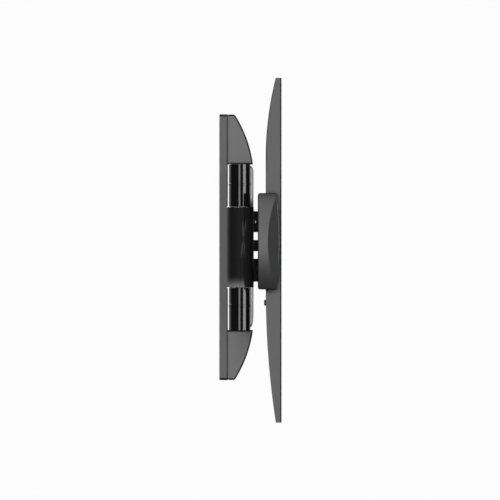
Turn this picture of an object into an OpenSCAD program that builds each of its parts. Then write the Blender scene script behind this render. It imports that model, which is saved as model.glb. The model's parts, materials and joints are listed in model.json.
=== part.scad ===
// Full motion TV wall mount, folded flat against the wall.
// X runs along the wall, Z is up and the wall plane is Y = 0. The screen side points to -Y.
// "Depth" below is the distance out from the wall, so a depth d lies at y = -d.

/* [Wall plate] */
// Width of the wall plate
plate_w = 120; // [114:1:150]
// Height of the wall plate
plate_h = 334.5; // [310:0.5:420]
// Depth of the plate's folded edge
plate_depth = 9.4; // [7.5:0.1:9.4]
// Thickness of the plate's sheet
plate_t = 2.5; // [1.5:0.1:3]
// Vertical distance between the two stud slots
slot_pitch = 280; // [240:1:300]
// Length of each stud slot
slot_len = 24; // [14:1:30]
// Sideways distance between the anchor holes
anchor_pitch_x = 80; // [60:1:90]
// Vertical distance between the anchor holes
anchor_pitch_z = 250; // [235:1:270]
// Radius of the plate's screw holes
screw_hole_r = 4.5; // [3:0.1:6]

/* [Covers] */
// Lowest height of the upper cover, above the centre
cover_z = 104.5; // [100:0.1:115]
// Thickness of the edge trims between the plate and the covers
trim_t = 1.2; // [0.5:0.1:2]
// Radius of a cover's curved front
cover_r = 155; // [125:1:190]
// Wall of a cover
cover_t = 2; // [1.2:0.1:2.5]

/* [Arms] */
// Distance of the wall pivot from the plate's side edge
pivot_inset = 15; // [13:1:16]
// Depth of the wall pivot
wall_pivot_d = 28; // [27:0.1:28.5]
// Sideways reach of the elbow, past the centre
elbow_reach = 202; // [168:1:260]
// Depth of the elbow and head pivots
link_d = 25.65; // [25:0.05:26.2]
// Radius of the wall sleeve
sleeve_r = 15; // [12:0.5:16]
// Bore radius of the wall sleeve
sleeve_bore_r = 10; // [8:0.5:11]
// Radius of the rear link's elbow barrels
barrel_r = 13.35; // [11:0.05:13.5]
// Height of one rear arm
arm_h = 39; // [20:1:41]
// Thickness of one rear arm
arm_t = 18; // [12:1:20]
// Wall of the arm tubes
arm_wall = 2; // [1.5:0.1:3]
// Radius of the pivot pins
pin_r = 6; // [4:0.5:7.5]
// Radial clearance of a turning pin
pin_gap = 0.05; // [0.02:0.01:0.1]

/* [Front link] */
// Half height of the front link
link_half_h = 50.2; // [46:0.1:50.2]
// Thickness of the front link's end plates
link_plate_t = 4; // [3:0.5:6]
// Depth of the shroud, wall side to screen side
shroud_depth = 33.6; // [32:0.1:33.8]
// Wall of the shroud
shroud_t = 1.8; // [1.2:0.1:2]

/* [Tilt head] */
// Depth of the tilt axis
tilt_d = 41; // [40.5:0.1:41.5]
// Height of the tilt axis
tilt_z = -29; // [-32:0.5:-27]
// Radius of the tilt and level bolts
bolt_r = 4; // [3:0.5:4]
// Thickness of the tilt plate's ears
ear_t = 4; // [3:0.5:5]
// Forward tilt, in degrees
tilt_down = 8; // [4:1:8]
// Backward tilt, in degrees
tilt_up = 2; // [1:1:2]

/* [Crossbar] */
// Gap between a rail and an end cap
cap_gap = 2; // [0.5:0.5:60]
// Height of an end cap
cap_h = 120.4; // [116:0.1:130]
// Depth of an end cap
cap_depth = 26.9; // [26:0.1:28]
// Length of an end cap
cap_len = 18; // [14:0.5:30]
// Radius of the crossbar's tubes
tube_r = 10; // [8:0.25:10]
// Wall of the crossbar's tubes
tube_t = 2; // [1.2:0.1:3]
// Distance between the centres of the two tubes
tube_pitch = 84; // [76:1:86]

/* [Rails] */
// Height of a screen rail
rail_h = 431; // [425:1:520]
// Width of a screen rail
rail_w = 30; // [24:1:32]
// Sheet thickness of a screen rail
rail_t = 1.9; // [1.5:0.1:2.5]
// Sideways distance between the rails' centres
rail_pitch = 400; // [300:1:600]
// Radius of the screen screw holes
screen_hole_r = 4.2; // [3:0.1:5]

/* [Hidden] */

$fn = 64;
eps = 1;                       // how far a cutting shape runs past what it cuts
gap = 0.3;                     // clearance between faces that slide past each other
slip = 0.1;                    // clearance under a washer or bush flange

// wall side
plate_corner_r = 4;
wall_pivot_x = plate_w / 2 - pivot_inset;
trim_z = link_half_h + 1.6;     // where the trims stop, clear of the front link
cover_d = plate_depth + trim_t;
cover_top = plate_h / 2 - 0.25;
cover_edge_d = 19.4;           // depth of the cover's front at its outer edge
cover_tip_d = wall_pivot_d + 1.5 * pin_r + 5.3;   // depth of the cover's front at its inner edge
cover_tuck = 3;                // how far the cover's lips reach into the plate
cover_lip = 2;
ear_plate_t = 4.5;
ear_z = cover_z + 0.1;         // inner face of the upper wall ear
ear_r = pin_r + 5;
wall_ear_w = 24;
sleeve_top = cover_z - 2;
sleeve_bottom = 3.5 - cover_z;
sleeve_round_top = 6.5;
sleeve_round_bottom = 15;
sleeve_round_r = 0.8 * (sleeve_r - sleeve_bore_r);
bush_len = 20;
pin_hex_r = 1.733 * pin_r;     // the pin's hex head across the corners, halved
pin_head_h = 7.5;
pin_tail = 2;                  // how far a pin stands out of its nut

// rear link
elbow_x = -elbow_reach;
barrel_z0 = link_half_h + 0.5;
barrel_z1 = cover_z - 0.5;
arm_z = (barrel_z0 + barrel_z1) / 2;
arm_d = (wall_pivot_d + link_d) / 2;
collar_r = barrel_r + 0.5;
collar_h = 3;
collar_z = [78.5, -73];
plug_h = 5;

// front link
link_r = 14;                   // half width of the link's end plates
link_plate_z = link_half_h - 0.4 - link_plate_t;
link_barrel_r = 12.5;
link_bore_r = 9;
spine_t = 16;
spine_x1 = -30;
shroud_d = 26.5;               // depth of the shroud's middle
shroud_split = 32;             // depth of the seam between the shroud's halves
shroud_seam = 0.15;
shroud_x1 = -27;
shroud_back = shroud_d - shroud_depth / 2;
shroud_face = shroud_d + shroud_depth / 2;
shroud_screw_x = [37 - elbow_reach, -60];
shroud_screw_r = 1.75;
shroud_boss_r = 5;
shroud_head_r = 3.2;
shroud_head_h = 2;
shroud_sink = 1;               // how deep a screw head lies in the shroud
shroud_bite = 4;               // how far a screw goes into the spine
washer_r = 12;

// head
knuckle_r = 11;
knuckle_z = 44.6;
cheek_x = 9;
cheek_t = 4;
cheek_d = [22, 34];            // where a cheek starts, and where its lower arm begins
cheek_low_z = [-42, -16];
cheek_high_z = 19.5;
cheek_high_d = 45.5;
eye_r = 7;                     // round end of the cheek at the tilt axis
clamp_d = 40;
clamp_z = 32;
clamp_r = 3;
clamp_hex_r = 5.8;             // M6 across the corners, halved
clamp_head_h = 4;
clamp_nut_h = 5.2;
clamp_reach = norm([clamp_d - tilt_d, clamp_z - tilt_z]);
clamp_angle = atan2(clamp_d - tilt_d, clamp_z - tilt_z);
ear_x = cheek_x + cheek_t + gap;
hex_r = 7.5;                   // M8 across the corners, halved
hex_h = 5.5;
nut_h = 6.5;
head_tail = 0.5;
tilt_plate_d = 48.6;
tilt_plate_t = 3;
tilt_plate_w = 52;
tilt_low_z = [-43.5, -14.4];
tilt_high_z = [18.9, 45.5];
tilt_ear_d = [20, 24, 40];     // back of the upper ears, and where their corners are cut
tilt_eye_r = 8;
level_z = 2;

// crossbar
cap_back = 48.5;
cap_mid_z = 7.4;
cap_bulge = 4.4;
cap_face_r = (pow(cap_h / 2, 2) + pow(cap_bulge, 2)) / (2 * cap_bulge);
cap_wall = 2.2;
cap_screw_in = 7;
cap_screw_r = 2;
cap_screw_head_r = 3.75;
cap_screw_head_h = 2.5;
boss_wall = 2;
tube_back_d = 52.4;
tube_d = tube_back_d + tube_r;
tube_z = [cap_mid_z + tube_pitch / 2, cap_mid_z - tube_pitch / 2];
bracket_d = tilt_plate_d + tilt_plate_t + 1;
bracket_t = 4;
bracket_w = 60;
bar_end = rail_pitch / 2 + rail_w / 2 + cap_gap + cap_len;
tube_end = bar_end - 4;
lens_depth = 0.7;
lens_r = 165;                  // radius of the lens's wall-side edge
lens_d = cap_back + 12.4;      // depth of that edge
lens_z = cap_mid_z - 1.2;
lens_rim = 0.8;                // distance of the lens's other edge from the cap's face

// rails
rail_face_d = 78;
rail_back_d = 58.6;
rail_mid_z = -3.8;
rail_top = rail_mid_z + rail_h / 2;
rail_bottom = rail_mid_z - rail_h / 2;
rail_bend_top = 116;
rail_bend_bottom = -55;
rail_end_t = 7.2;              // what is left of the rail's depth at its two ends
hook_d = 48.9;
hook_top = 16.5;               // how far the hook stands above the tube's centre
notch_up = 4;                  // the upper notch's mouth, above the tube's centre
notch_down = [17.5, 17];       // each notch's mouth, below the tube's centre
lift = 7;                      // how far a rail lifts off the tubes before it comes free
lock_z = -70;
lock_r = 2.5;
lock_head_r = 3.1;
lock_head_h = 2.5;
tab_t = 2.5;
tab_d = rail_back_d + 0.4;
tab_z = [lock_z - 8, lock_z + 12];
lock_nut_h = 4;
lock_hex_r = 4.6;
latch_t = 2.5;
latch_d = tab_d + tab_t + slip;
latch_lip = 8;                 // depth of the lip under the lower tube
latch_tail = 6;                // how far the latch reaches below its screw
latch_play = 2;                // room between the latch and the rail's sides
latch_drop = 8;                // length of the latch's slot
screen_hole_z = [50, 100, 150, 200];

// ---------- helpers ----------

// A shape drawn as (depth, height), run from x0 to x1
module from_side(x0, x1) {
    mirror([0, 1, 0]) translate([x0, 0, 0]) rotate([90, 0, 90]) linear_extrude(x1 - x0) children();
}

// A shape drawn as (x, depth), run from z0 to z1
module from_top(z0, z1) {
    mirror([0, 1, 0]) translate([0, 0, z0]) linear_extrude(z1 - z0) children();
}

// A shape drawn as (x, height), run from depth d0 to d1
module from_front(d0, d1) {
    translate([0, -d0, 0]) rotate([90, 0, 0]) linear_extrude(d1 - d0) children();
}

module post(x, d, z0, z1, r) {
    translate([x, -d, z0]) cylinder(h = z1 - z0, r = r);
}

module rod_x(x0, x1, d, z, r) {
    translate([x0, -d, z]) rotate([0, 90, 0]) cylinder(h = x1 - x0, r = r);
}

module rod_d(x, d0, d1, z, r) {
    translate([x, -d0, z]) rotate([90, 0, 0]) cylinder(h = d1 - d0, r = r);
}

module hex_x(x0, x1, d, z, r) {
    translate([x0, -d, z]) rotate([0, 90, 0]) cylinder(h = x1 - x0, r = r, $fn = 6);
}

module hex_d(x, d0, d1, z, r) {
    translate([x, -d0, z]) rotate([90, 15, 0]) cylinder(h = d1 - d0, r = r, $fn = 6);
}

module block(x0, x1, d0, d1, z0, z1) {
    translate([x0, -d1, z0]) cube([x1 - x0, d1 - d0, z1 - z0]);
}

// A rectangle with round corners, from (a0, b0) to (a1, b1)
module round_rect(a0, b0, a1, b1, r) {
    translate([a0 + r, b0]) square([a1 - a0 - 2 * r, b1 - b0]);
    translate([a0, b0 + r]) square([a1 - a0, b1 - b0 - 2 * r]);
    for (a = [a0 + r, a1 - r], b = [b0 + r, b1 - r]) translate([a, b]) circle(r = r);
}

module ring_z(x, d, z0, z1, r_out, r_in) {
    difference() {
        post(x, d, z0, z1, r_out);
        post(x, d, z0 - eps, z1 + eps, r_in);
    }
}

module flip_z() { mirror([0, 0, 1]) children(); }
module flip_x() { mirror([1, 0, 0]) children(); }

// ---------- wall side ----------

module stud_slot() {
    for (s = [-1, 1]) translate([0, s * (slot_len / 2 - screw_hole_r)]) circle(r = screw_hole_r);
    translate([-screw_hole_r, -slot_len / 2 + screw_hole_r])
        square([2 * screw_hole_r, slot_len - 2 * screw_hole_r]);
}

module wall_plate() {
    color("#5c5e61") difference() {
        from_front(0, plate_depth)
            round_rect(-plate_w / 2, -plate_h / 2, plate_w / 2, plate_h / 2, plate_corner_r);
        from_front(plate_t, plate_depth + eps)
            round_rect(-plate_w / 2 + plate_t, -plate_h / 2 + plate_t,
                       plate_w / 2 - plate_t, plate_h / 2 - plate_t, plate_corner_r - plate_t);
        for (s = [-1, 1]) from_front(-eps, plate_t + eps) translate([0, s * slot_pitch / 2]) stud_slot();
        for (sx = [-1, 1], sz = [-1, 1])
            rod_d(sx * anchor_pitch_x / 2, -eps, plate_t + eps, sz * anchor_pitch_z / 2, screw_hole_r);
    }
}

// Rubber strips on the plate's edges, above and below the front link, where the covers meet it
module edge_trims() {
    mid_x = plate_w / 2 - plate_t / 2;
    mid_z = plate_h / 2 - plate_t / 2;
    end_x = plate_w / 2 - plate_corner_r;
    end_z = plate_h / 2 - plate_corner_r;
    front = plate_depth + trim_t;
    color("#2b2b2c") for (sz = [-1, 1]) {
        for (sx = [-1, 1])
            block(sx * mid_x - plate_t / 2, sx * mid_x + plate_t / 2, plate_depth, front,
                  min(sz * trim_z, sz * end_z), max(sz * trim_z, sz * end_z));
        block(-end_x, end_x, plate_depth, front,
              sz * mid_z - plate_t / 2, sz * mid_z + plate_t / 2);
    }
}

module wall_ear() {
    difference() {
        from_top(ear_z, ear_z + ear_plate_t) {
            translate([wall_pivot_x - wall_ear_w / 2, plate_t])
                square([wall_ear_w, wall_pivot_d - plate_t]);
            translate([wall_pivot_x, wall_pivot_d]) circle(r = ear_r);
        }
        post(wall_pivot_x, wall_pivot_d, ear_z - eps, ear_z + ear_plate_t + eps, pin_r);
    }
}

module wall_ear_upper() { color("#55575a") wall_ear(); }
module wall_ear_lower() { color("#55575a") flip_z() wall_ear(); }

// The cover's side outline; inset draws its inner face
module cover_outline(inset) {
    over = inset > 0 ? eps : 0;
    chord = [cover_tip_d - cover_edge_d, cover_top - cover_z];
    reach = norm(chord) / 2;
    away = sqrt(cover_r * cover_r - reach * reach);
    centre = [(cover_tip_d + cover_edge_d) / 2 - away * chord[1] / norm(chord),
              (cover_top + cover_z) / 2 - away * chord[0] / norm(chord)];
    intersection() {
        translate([cover_d - over, cover_z - over])
            square([cover_tip_d, cover_top - cover_z - inset + over]);
        translate(centre) circle(r = cover_r - inset, $fn = 180);
    }
}

module cover() {
    lip_x = plate_w / 2 - plate_t;
    lip_z = plate_h / 2 - plate_t;
    lip_z0 = ear_z + ear_plate_t + 1;
    tip = cover_d + cover_lip;
    root = plate_depth - cover_tuck;
    difference() {
        from_side(-plate_w / 2, plate_w / 2) cover_outline(0);
        from_side(-plate_w / 2 + cover_t, plate_w / 2 - cover_t) cover_outline(cover_t);
    }
    for (s = [-1, 1]) {
        mid = s * (lip_x - cover_lip / 2);
        block(mid - cover_lip / 2, mid + cover_lip / 2, root, tip, lip_z0, lip_z - plate_corner_r);
        block(s * lip_x - cover_lip, s * lip_x + cover_lip, cover_d, tip, lip_z0, lip_z);
    }
    block(plate_corner_r - lip_x, lip_x - plate_corner_r, root, tip, lip_z - cover_lip, lip_z);
    block(-lip_x, lip_x, cover_d, tip, lip_z - cover_lip, cover_top - cover_t / 2);
}

module cover_upper() { color("#6b6d70") cover(); }
module cover_lower() { color("#6b6d70") flip_z() cover(); }

module wall_pin() {
    top = ear_z + ear_plate_t;
    color("#8c8e90") {
        post(wall_pivot_x, wall_pivot_d, -top - pin_head_h - pin_tail, top, pin_r);
        translate([wall_pivot_x, -wall_pivot_d, top]) cylinder(h = pin_head_h, r = pin_hex_r, $fn = 6);
    }
}

module wall_pin_nut() {
    top = ear_z + ear_plate_t;
    color("#8c8e90") difference() {
        translate([wall_pivot_x, -wall_pivot_d, -top - pin_head_h])
            cylinder(h = pin_head_h, r = pin_hex_r, $fn = 6);
        post(wall_pivot_x, wall_pivot_d, -top - pin_head_h - eps, -top + eps, pin_r);
    }
}

// ---------- rear link ----------

// A quarter of an ellipse, from the sleeve's side to its end
function sleeve_round(h, end, dir) =
    [for (i = [0 : 6]) let (a = 15 * i)
        [sleeve_r - sleeve_round_r * (1 - cos(a)), end - dir * h * (1 - sin(a))]];

module wall_sleeve() {
    color("#b9bbbd") translate([wall_pivot_x, -wall_pivot_d, 0]) rotate_extrude()
        polygon(concat(
            [[sleeve_bore_r, sleeve_top]],
            [for (i = [6 : -1 : 0]) sleeve_round(sleeve_round_top, sleeve_top, 1)[i]],
            sleeve_round(sleeve_round_bottom, sleeve_bottom, -1),
            [[sleeve_bore_r, sleeve_bottom]]));
}

module wall_bush(z_end, z_face, dir) {
    inner = z_end - dir * bush_len;
    ring_z(wall_pivot_x, wall_pivot_d, min(inner, z_end), max(inner, z_end),
           sleeve_bore_r, pin_r + pin_gap);
    ring_z(wall_pivot_x, wall_pivot_d, min(z_end, z_face), max(z_end, z_face),
           sleeve_r - sleeve_round_r, pin_r + pin_gap);
}

module wall_bushes() {
    color("#e8e6df") {
        wall_bush(sleeve_top, ear_z - slip, 1);
        wall_bush(sleeve_bottom, -ear_z + slip, -1);
    }
}

module rear_arm(ring) {
    z0 = arm_z - arm_h / 2;
    z1 = arm_z + arm_h / 2;
    d0 = arm_d - arm_t / 2;
    d1 = arm_d + arm_t / 2;
    difference() {
        from_side(elbow_x, wall_pivot_x) difference() {
            round_rect(d0, z0, d1, z1, 4);
            round_rect(d0 + arm_wall, z0 + arm_wall, d1 - arm_wall, z1 - arm_wall, 2);
        }
        post(wall_pivot_x, wall_pivot_d, z0 - eps, z1 + eps, sleeve_r);
        post(elbow_x, link_d, z0 - eps, z1 + eps, barrel_r);
        post(elbow_x, link_d, ring - collar_h / 2, ring + collar_h / 2, collar_r);
    }
}

module rear_arm_upper() { color("#3a3b3d") rear_arm(collar_z[0]); }
module rear_arm_lower() { color("#3a3b3d") flip_z() rear_arm(-collar_z[1]); }

module elbow_barrel(z0, z1, ring) {
    difference() {
        union() {
            post(elbow_x, link_d, z0, z1, barrel_r);
            post(elbow_x, link_d, ring - collar_h / 2, ring + collar_h / 2, collar_r);
        }
        post(elbow_x, link_d, z0 - eps, z1 + eps, pin_r);
    }
}

module elbow_barrel_upper() { color("#151516") elbow_barrel(barrel_z0, barrel_z1, collar_z[0]); }
module elbow_barrel_lower() { color("#151516") elbow_barrel(-barrel_z1, -barrel_z0, collar_z[1]); }

module elbow_pin() {
    color("#8c8e90") post(elbow_x, link_d, -barrel_z1 + plug_h, barrel_z1 - plug_h, pin_r);
}

module elbow_plugs() {
    color("#202122") for (z = [barrel_z1 - plug_h, -barrel_z1])
        post(elbow_x, link_d, z, z + plug_h, pin_r);
}

// ---------- front link ----------

module link_plate() {
    difference() {
        from_top(link_plate_z, link_plate_z + link_plate_t) {
            translate([elbow_x, link_d]) circle(r = link_r);
            translate([0, link_d]) circle(r = link_r);
            translate([elbow_x, link_d - link_r]) square([elbow_reach, 2 * link_r]);
        }
        post(elbow_x, link_d, link_plate_z - eps, link_half_h, pin_r + gap);
        post(0, link_d, link_plate_z - eps, link_half_h, pin_r);
    }
}

module link_plate_upper() { color("#2c2d2f") link_plate(); }
module link_plate_lower() { color("#2c2d2f") flip_z() link_plate(); }

module link_spine() {
    d0 = link_d - spine_t / 2;
    d1 = link_d + spine_t / 2;
    color("#2c2d2f") difference() {
        from_side(elbow_x, spine_x1) difference() {
            round_rect(d0, -link_plate_z, d1, link_plate_z, 2);
            round_rect(d0 + arm_wall, -link_plate_z + arm_wall, d1 - arm_wall, link_plate_z - arm_wall, 1);
        }
        post(elbow_x, link_d, -link_plate_z - eps, link_plate_z + eps, link_barrel_r);
        for (x = shroud_screw_x) rod_d(x, d0 - eps, d1 + eps, 0, shroud_screw_r);
    }
}

module link_barrel() {
    color("#2c2d2f") ring_z(elbow_x, link_d, -link_plate_z, link_plate_z, link_barrel_r, link_bore_r);
}

module link_bushes() {
    color("#e8e6df") for (z = [link_plate_z - bush_len, -link_plate_z])
        ring_z(elbow_x, link_d, z, z + bush_len, link_bore_r, pin_r + pin_gap);
}

module elbow_washers() {
    z0 = link_plate_z + link_plate_t;
    color("#e8e6df") {
        ring_z(elbow_x, link_d, z0, barrel_z0 - slip, washer_r, pin_r + gap);
        flip_z() ring_z(elbow_x, link_d, z0, barrel_z0 - slip, washer_r, pin_r + gap);
    }
}

// The shroud's plan outline: a long bar with a round end at the elbow
module shroud_outline(inset) {
    r = shroud_depth / 2 - inset;
    translate([elbow_x, shroud_d]) circle(r = r);
    translate([elbow_x, shroud_d - r]) square([shroud_x1 - elbow_x + (inset > 0 ? eps : 0), 2 * r]);
}

module shroud_shell() {
    difference() {
        from_top(-link_half_h, link_half_h) shroud_outline(0);
        from_top(-link_half_h - eps, link_half_h + eps) shroud_outline(shroud_t);
    }
}

module shroud_half(d0, d1, face_d, spine_d) {
    out = sign(face_d - spine_d);
    inside = face_d - out * shroud_t / 2;
    seat = face_d - out * (shroud_sink + shroud_head_h);
    difference() {
        union() {
            intersection() {
                shroud_shell();
                block(elbow_x - 2 * shroud_depth, 0, d0, d1, -plate_h, plate_h);
            }
            for (x = shroud_screw_x)
                rod_d(x, min(spine_d, inside), max(spine_d, inside), 0, shroud_boss_r);
        }
        for (x = shroud_screw_x) {
            rod_d(x, min(spine_d, face_d) - eps, max(spine_d, face_d) + eps, 0, shroud_screw_r);
            rod_d(x, min(seat, face_d + out), max(seat, face_d + out), 0, shroud_head_r + gap);
        }
    }
}

module shroud_rear() {
    color("#1d1e20")
        shroud_half(shroud_back - eps, shroud_split - shroud_seam, shroud_back, link_d - spine_t / 2);
}

module shroud_front() {
    color("#141516")
        shroud_half(shroud_split + shroud_seam, shroud_face + eps, shroud_face, link_d + spine_t / 2);
}

module shroud_screw(x, head_d, tip_d) {
    out = sign(head_d - tip_d);
    rod_d(x, min(head_d, tip_d), max(head_d, tip_d), 0, shroud_screw_r);
    seat = head_d - out * shroud_head_h;
    rod_d(x, min(head_d, seat), max(head_d, seat), 0, shroud_head_r);
}

module shroud_screws() {
    color("#77797b") for (x = shroud_screw_x) {
        shroud_screw(x, shroud_back + shroud_sink, link_d - spine_t / 2 + shroud_bite);
        shroud_screw(x, shroud_face - shroud_sink, link_d + spine_t / 2 - shroud_bite);
    }
}

// ---------- head ----------

module head_pin() {
    top = link_plate_z + link_plate_t;
    color("#8c8e90") {
        post(0, link_d, -top - nut_h - head_tail, top, pin_r);
        translate([0, -link_d, top]) cylinder(h = nut_h - head_tail, r = pin_hex_r, $fn = 6);
    }
}

module head_pin_nut() {
    top = link_plate_z + link_plate_t;
    color("#8c8e90") difference() {
        translate([0, -link_d, -top - nut_h]) cylinder(h = nut_h, r = pin_hex_r, $fn = 6);
        post(0, link_d, -top - nut_h - eps, -top + eps, pin_r);
    }
}

module head_washers() {
    color("#e8e6df") {
        ring_z(0, link_d, knuckle_z + 2 * slip, link_plate_z, knuckle_r, pin_r);
        flip_z() ring_z(0, link_d, knuckle_z + 2 * slip, link_plate_z, knuckle_r, pin_r);
    }
}

module knuckle_cheeks() {
    from_side(cheek_x, cheek_x + cheek_t) {
        difference() {
            union() {
                polygon([[cheek_d[0], cheek_low_z[0]], [cheek_d[1], cheek_low_z[0]],
                         [tilt_d, tilt_z - eye_r], [tilt_d, tilt_z + eye_r],
                         [cheek_d[1], cheek_low_z[1]], [cheek_d[0], cheek_low_z[1]]]);
                translate([tilt_d, tilt_z]) circle(r = eye_r);
            }
            translate([tilt_d, tilt_z]) circle(r = bolt_r + pin_gap);
        }
        difference() {
            round_rect(cheek_d[0], cheek_high_z, cheek_high_d, knuckle_z - gap, 3);
            translate([clamp_d, clamp_z]) circle(r = clamp_r);
        }
    }
}

module knuckle() {
    color("#3c3e40") difference() {
        union() {
            post(0, link_d, -knuckle_z, knuckle_z, knuckle_r);
            knuckle_cheeks();
            flip_x() knuckle_cheeks();
        }
        post(0, link_d, -knuckle_z - eps, knuckle_z + eps, pin_r + pin_gap);
    }
}

module clamp_bolt() {
    x1 = ear_x + ear_t + slip;
    color("#2a2b2c") {
        rod_x(-x1, x1 + clamp_nut_h, clamp_d, clamp_z, clamp_r);
        hex_x(-x1 - clamp_head_h, -x1, clamp_d, clamp_z, clamp_hex_r);
    }
}

module clamp_nut() {
    x1 = ear_x + ear_t + slip;
    color("#2a2b2c") difference() {
        hex_x(x1, x1 + clamp_nut_h, clamp_d, clamp_z, clamp_hex_r);
        rod_x(x1 - eps, x1 + clamp_nut_h + eps, clamp_d, clamp_z, clamp_r);
    }
}

// ---------- tilt plate ----------

// The curved slot that the clamp bolt runs in, drawn as (depth, height)
module clamp_slot() {
    half = clamp_r + gap;
    back = clamp_angle - tilt_down - 0.5;
    front = clamp_angle + tilt_up + 0.5;
    far = clamp_reach + 20;
    translate([tilt_d, tilt_z]) {
        intersection() {
            difference() {
                circle(r = clamp_reach + half, $fn = 180);
                circle(r = clamp_reach - half, $fn = 180);
            }
            polygon([[0, 0], [far * sin(back), far * cos(back)], [far * sin(front), far * cos(front)]]);
        }
        for (a = [back, front]) translate([clamp_reach * sin(a), clamp_reach * cos(a)]) circle(r = half);
    }
}

module tilt_ears() {
    from_side(ear_x, ear_x + ear_t) {
        difference() {
            polygon([[tilt_ear_d[0], tilt_high_z[0] + 3], [tilt_ear_d[1], tilt_high_z[0]],
                     [tilt_plate_d, tilt_high_z[0]], [tilt_plate_d, tilt_high_z[1]],
                     [tilt_ear_d[2], tilt_high_z[1]], [tilt_ear_d[0], tilt_high_z[1] - 4]]);
            clamp_slot();
        }
        difference() {
            union() {
                translate([tilt_d, tilt_low_z[0]])
                    square([tilt_plate_d - tilt_d, tilt_low_z[1] - tilt_low_z[0]]);
                translate([tilt_d, tilt_z]) circle(r = tilt_eye_r);
            }
            translate([tilt_d, tilt_z]) circle(r = bolt_r);
        }
    }
}

module tilt_plate() {
    color("#35373a") {
        difference() {
            from_front(tilt_plate_d, tilt_plate_d + tilt_plate_t)
                round_rect(-tilt_plate_w / 2, tilt_low_z[0], tilt_plate_w / 2, tilt_high_z[1], 4);
            rod_d(0, tilt_plate_d - eps, tilt_plate_d + tilt_plate_t + eps, level_z, bolt_r + pin_gap);
        }
        tilt_ears();
        flip_x() tilt_ears();
    }
}

module tilt_bolt() {
    x1 = ear_x + ear_t;
    color("#2a2b2c") {
        rod_x(-x1, x1 + nut_h, tilt_d, tilt_z, bolt_r);
        hex_x(-x1 - hex_h, -x1, tilt_d, tilt_z, hex_r);
    }
}

module tilt_nut() {
    x1 = ear_x + ear_t;
    color("#2a2b2c") difference() {
        hex_x(x1, x1 + nut_h, tilt_d, tilt_z, hex_r);
        rod_x(x1 - eps, x1 + nut_h + eps, tilt_d, tilt_z, bolt_r);
    }
}

// ---------- crossbar ----------

module crossbar_tube(z) {
    difference() {
        rod_x(-tube_end, tube_end, tube_d, z, tube_r);
        rod_x(-tube_end - eps, tube_end + eps, tube_d, z, tube_r - tube_t);
    }
}

module crossbar_tube_upper() { color("#2f3133") crossbar_tube(tube_z[0]); }
module crossbar_tube_lower() { color("#2f3133") crossbar_tube(tube_z[1]); }

module crossbar_bracket() {
    color("#35373a") difference() {
        from_front(bracket_d, bracket_d + bracket_t)
            round_rect(-bracket_w / 2, tube_z[1], bracket_w / 2, tube_z[0], 5);
        for (z = tube_z) rod_x(-bracket_w, bracket_w, tube_d, z, tube_r);
        rod_d(0, bracket_d - eps, bracket_d + bracket_t + eps, level_z, bolt_r);
    }
}

module level_washer() {
    color("#e8e6df") difference() {
        rod_d(0, tilt_plate_d + tilt_plate_t + slip, bracket_d, level_z, washer_r);
        rod_d(0, tilt_plate_d, bracket_d + eps, level_z, bolt_r);
    }
}

module level_bolt() {
    front = bracket_d + bracket_t;
    color("#2a2b2c") {
        rod_d(0, tilt_plate_d - nut_h, front, level_z, bolt_r);
        hex_d(0, front, front + hex_h, level_z, hex_r);
    }
}

module level_nut() {
    color("#151516") difference() {
        hex_d(0, tilt_plate_d - nut_h, tilt_plate_d, level_z, hex_r);
        rod_d(0, tilt_plate_d - nut_h - eps, tilt_plate_d + eps, level_z, bolt_r);
    }
}

// The end cap's D outline; inset draws its inner face
module cap_outline(inset) {
    intersection() {
        round_rect(cap_back + inset, cap_mid_z - cap_h / 2 + inset,
                   cap_back + cap_depth + 5, cap_mid_z + cap_h / 2 - inset, 2.5 - inset / 2);
        translate([cap_back + cap_depth - cap_face_r, cap_mid_z]) circle(r = cap_face_r - inset, $fn = 180);
    }
}

// The lens-shaped recess in the cap's outer face
module lens_outline() {
    intersection() {
        translate([cap_back + cap_depth - lens_rim - cap_face_r, cap_mid_z])
            circle(r = cap_face_r, $fn = 180);
        translate([lens_d + lens_r, lens_z]) circle(r = lens_r, $fn = 180);
    }
}

module end_cap() {
    x0 = bar_end - cap_len;
    x1 = bar_end;
    difference() {
        union() {
            difference() {
                from_side(x0, x1) cap_outline(0);
                from_side(x0 - eps, x1 - cap_wall) cap_outline(cap_wall);
            }
            for (z = tube_z) rod_x(x0 + boss_wall, x1 - cap_wall / 2, tube_d, z, tube_r + boss_wall);
        }
        for (z = tube_z) rod_x(x0, tube_end, tube_d, z, tube_r);
        from_side(x1 - lens_depth, x1 + eps) lens_outline();
        post(x0 + cap_screw_in, tube_d, cap_mid_z - cap_h / 2 - eps, tube_z[1] - tube_r + eps, cap_screw_r);
    }
}

module end_cap_right() { color("#55585b") end_cap(); }
module end_cap_left() { color("#55585b") flip_x() end_cap(); }

module cap_screw(x) {
    z0 = cap_mid_z - cap_h / 2;
    post(x, tube_d, z0, tube_z[1] - tube_r, cap_screw_r);
    post(x, tube_d, z0 - cap_screw_head_h, z0, cap_screw_head_r);
}

module cap_screws() {
    x = bar_end - cap_len + cap_screw_in;
    color("#2a2b2c") {
        cap_screw(x);
        cap_screw(-x);
    }
}

// ---------- rails ----------

function bow_r(run) = (run * run + pow(rail_face_d - rail_end_t - rail_back_d, 2))
    / (2 * (rail_face_d - rail_end_t - rail_back_d));

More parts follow.
